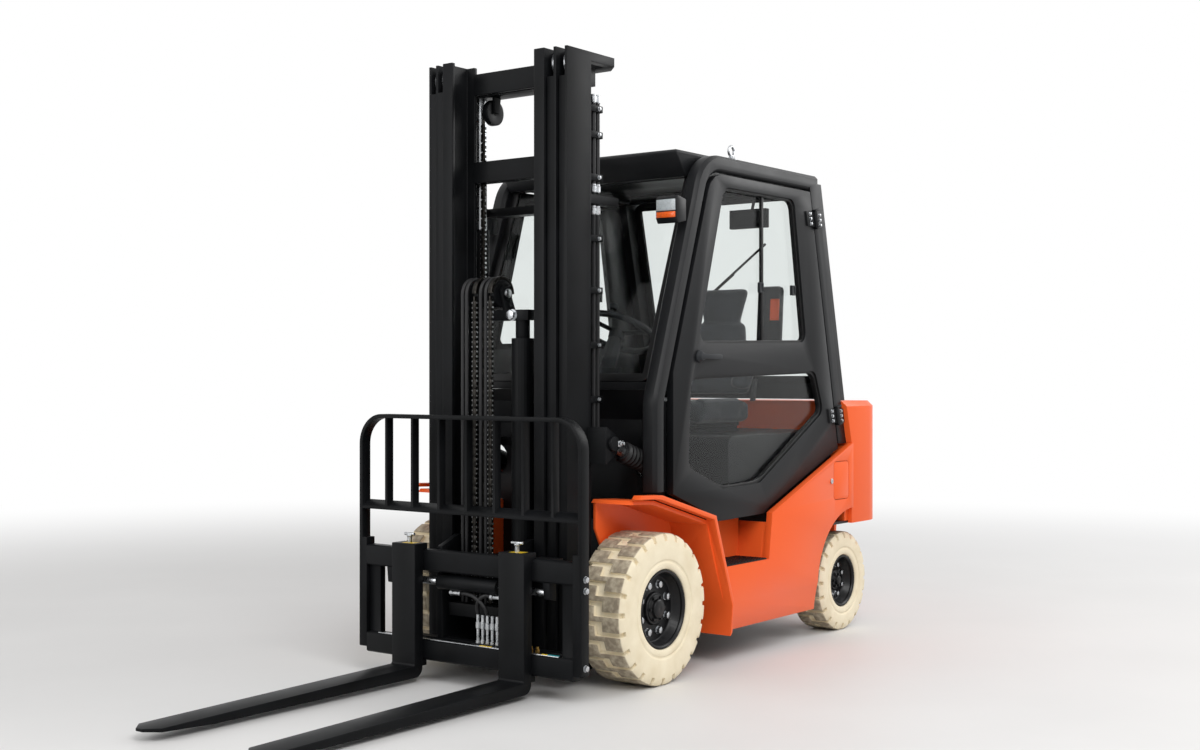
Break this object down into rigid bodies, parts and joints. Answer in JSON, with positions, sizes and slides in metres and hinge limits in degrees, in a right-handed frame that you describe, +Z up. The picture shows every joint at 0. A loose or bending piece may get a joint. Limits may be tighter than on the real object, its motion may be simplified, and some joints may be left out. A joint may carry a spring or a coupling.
{
  "type": "counterbalance forklift",
  "caption": "Electric counterbalance forklift with glazed cab, triplex mast, sideshift carriage and forks; wheels, steering, doors, tilt and lift move.",
  "frame": {"origin": "on the floor, mid-length between fork tips and counterweight, on the centre plane", "axes": "+X forward along the forks, +Y to the driver's left, +Z up"},
  "size_m": [3.688, 1.176, 2.4259],
  "materials": {
    "orange_paint": "semi-gloss",
    "black_paint": "satin",
    "mast_black": "satin",
    "tyre_cream": "matte",
    "rim_black": "satin",
    "axle_grey": "matte",
    "bright_steel": "ground",
    "chain_steel": "oiled",
    "cab_plastic": "matte",
    "seat_fabric": "woven",
    "clear_glass": "clear",
    "lamp_lens": "clear",
    "hose_rubber": "matte",
    "battery_case": "matte"
  },
  "bodies": {
    "chassis": {"battery": "battery_case", "cab_frame": "black_paint", "cab_glass": "clear_glass", "chassis_frame": "black_paint", "counterweight": "orange_paint", "dash_console": "cab_plastic", "drawbar_pin": "bright_steel", "drive_axle": "axle_grey", "front_cowl": "black_paint", "lifting_eyes": "bright_steel", "roof_panel": "black_paint", "seat_back": "seat_fabric", "seat_cushion": "seat_fabric", "seat_deck": "black_paint", "side_panel_left": "orange_paint", "side_panel_right": "orange_paint", "steer_axle": "axle_grey", "work_lamps": "lamp_lens"},
    "door_left": {"door_left": "black_paint", "door_left_glass": "clear_glass"},
    "door_right": {"door_right": "black_paint", "door_right_glass": "clear_glass"},
    "steering_wheel": {"steering_wheel": "cab_plastic"},
    "knuckle_left": {"knuckle_left": "axle_grey"},
    "knuckle_right": {"knuckle_right": "axle_grey"},
    "mast": {"mast_outer": "mast_black", "lift_cylinders": "mast_black", "mast_hoses": "hose_rubber"},
    "mast_middle": {"mast_middle": "mast_black", "lift_rods": "bright_steel"},
    "mast_inner": {"mast_inner": "mast_black", "free_lift_cylinder": "mast_black", "mast_chains": "chain_steel"},
    "free_lift_head": {"free_lift_head": "mast_black"},
    "carriage": {"carriage": "mast_black", "lift_chains": "chain_steel"},
    "sideshift": {"fork_carrier": "mast_black", "load_backrest": "mast_black"},
    "fork_left": {"fork_left": "mast_black"},
    "fork_right": {"fork_right": "mast_black"},
    "charge_flap": {"charge_flap": "orange_paint"},
    "tilt_barrel_left": {"tilt_barrel_left": "hose_rubber"},
    "tilt_rod_left": {"tilt_rod_left": "bright_steel"},
    "wheel_front_left": {"tyre_front_left": "tyre_cream", "rim_front_left": "rim_black"},
    "wheel_rear_left": {"tyre_rear_left": "tyre_cream", "rim_rear_left": "rim_black"},
    "tilt_barrel_right": {"tilt_barrel_right": "hose_rubber"},
    "tilt_rod_right": {"tilt_rod_right": "bright_steel"},
    "wheel_front_right": {"tyre_front_right": "tyre_cream", "rim_front_right": "rim_black"},
    "wheel_rear_right": {"tyre_rear_right": "tyre_cream", "rim_rear_right": "rim_black"}
  },
  "joints": [
    {"name": "wheel_front_left_spin", "type": "hinge", "parent": "chassis", "child": "wheel_front_left", "pos_m": [0.086, 0.482, 0.292], "axis": [0, 1, 0], "continuous": true},
    {"name": "wheel_rear_left_spin", "type": "hinge", "parent": "knuckle_left", "child": "wheel_rear_left", "pos_m": [-1.485, 0.444, 0.229], "axis": [0, 1, 0], "continuous": true},
    {"name": "wheel_front_right_spin", "type": "hinge", "parent": "chassis", "child": "wheel_front_right", "pos_m": [0.086, -0.482, 0.292], "axis": [0, 1, 0], "continuous": true},
    {"name": "wheel_rear_right_spin", "type": "hinge", "parent": "knuckle_right", "child": "wheel_rear_right", "pos_m": [-1.485, -0.444, 0.229], "axis": [0, 1, 0], "continuous": true},
    {"name": "steer_left", "type": "hinge", "parent": "chassis", "child": "knuckle_left", "pos_m": [-1.485, 0.3, 0.229], "axis": [0, 0, 1], "range_deg": [-75, 75]},
    {"name": "steer_right", "type": "hinge", "parent": "chassis", "child": "knuckle_right", "pos_m": [-1.485, -0.3, 0.229], "axis": [0, 0, 1], "range_deg": [-75, 75]},
    {"name": "steering_wheel_turn", "type": "hinge", "parent": "chassis", "child": "steering_wheel", "pos_m": [-0.414, 0, 1.37], "axis": [-0.4755, 0, 0.8797], "continuous": true},
    {"name": "door_left_swing", "type": "hinge", "parent": "chassis", "child": "door_left", "pos_m": [-1.26477, 0.554, 1.45], "axis": [0.2265, 0, 0.974], "range_deg": [0, 100]},
    {"name": "door_right_swing", "type": "hinge", "parent": "chassis", "child": "door_right", "pos_m": [-1.26477, -0.554, 1.45], "axis": [-0.2265, 0, -0.974], "range_deg": [0, 100]},
    {"name": "charge_flap_swing", "type": "hinge", "parent": "chassis", "child": "charge_flap", "pos_m": [-1.41, 0.567, 0.706], "axis": [0, 0, 1], "range_deg": [0, 100]},
    {"name": "mast_tilt", "type": "hinge", "parent": "chassis", "child": "mast", "pos_m": [0.086, 0, 0.292], "axis": [0, 1, 0], "range_deg": [-6, 6]},
    {"name": "mast_lift", "type": "slide", "parent": "mast", "child": "mast_middle", "axis": [0, 0, 1], "range_m": [0, 1.55]},
    {"name": "inner_lift", "type": "slide", "parent": "mast_middle", "child": "mast_inner", "axis": [0, 0, 1], "range_m": [0, 1.55], "deforming": ["mast_chains"]},
    {"name": "carriage_lift", "type": "slide", "parent": "mast_inner", "child": "carriage", "axis": [0, 0, 1], "range_m": [0, 1.5], "deforming": ["lift_chains"]},
    {"name": "free_lift", "type": "slide", "parent": "mast_inner", "child": "free_lift_head", "axis": [0, 0, 1], "range_m": [0, 0.75]},
    {"name": "sideshift", "type": "slide", "parent": "carriage", "child": "sideshift", "axis": [0, 1, 0], "range_m": [-0.1, 0.1]},
    {"name": "fork_left_slide", "type": "slide", "parent": "sideshift", "child": "fork_left", "axis": [0, 1, 0], "range_m": [-0.1, 0.16]},
    {"name": "fork_right_slide", "type": "slide", "parent": "sideshift", "child": "fork_right", "axis": [0, -1, 0], "range_m": [-0.1, 0.16]},
    {"name": "tilt_barrel_left_pivot", "type": "hinge", "parent": "chassis", "child": "tilt_barrel_left", "pos_m": [-0.244, 0.4, 0.775], "axis": [0, 1, 0], "range_deg": [-5, 5]},
    {"name": "tilt_rod_left_slide", "type": "slide", "parent": "tilt_barrel_left", "child": "tilt_rod_left", "axis": [0.9507, 0, 0.31], "range_m": [-0.065, 0.065]},
    {"name": "tilt_barrel_right_pivot", "type": "hinge", "parent": "chassis", "child": "tilt_barrel_right", "pos_m": [-0.244, -0.4, 0.775], "axis": [0, 1, 0], "range_deg": [-5, 5]},
    {"name": "tilt_rod_right_slide", "type": "slide", "parent": "tilt_barrel_right", "child": "tilt_rod_right", "axis": [0.9507, 0, 0.31], "range_m": [-0.065, 0.065]}
  ],
  "couplings": [
    {"joint": "steer_right", "follows": "steer_left", "ratio": 1},
    {"joint": "inner_lift", "follows": "mast_lift", "ratio": 1},
    {"joint": "free_lift", "follows": "carriage_lift", "ratio": 0.5},
    {"joint": "tilt_barrel_left_pivot", "follows": "mast_tilt", "ratio": 0.66104},
    {"joint": "tilt_rod_left_slide", "follows": "mast_tilt", "m_per_rad": 0.56151},
    {"joint": "tilt_barrel_right_pivot", "follows": "mast_tilt", "ratio": 0.66104},
    {"joint": "tilt_rod_right_slide", "follows": "mast_tilt", "m_per_rad": 0.56151}
  ]
}
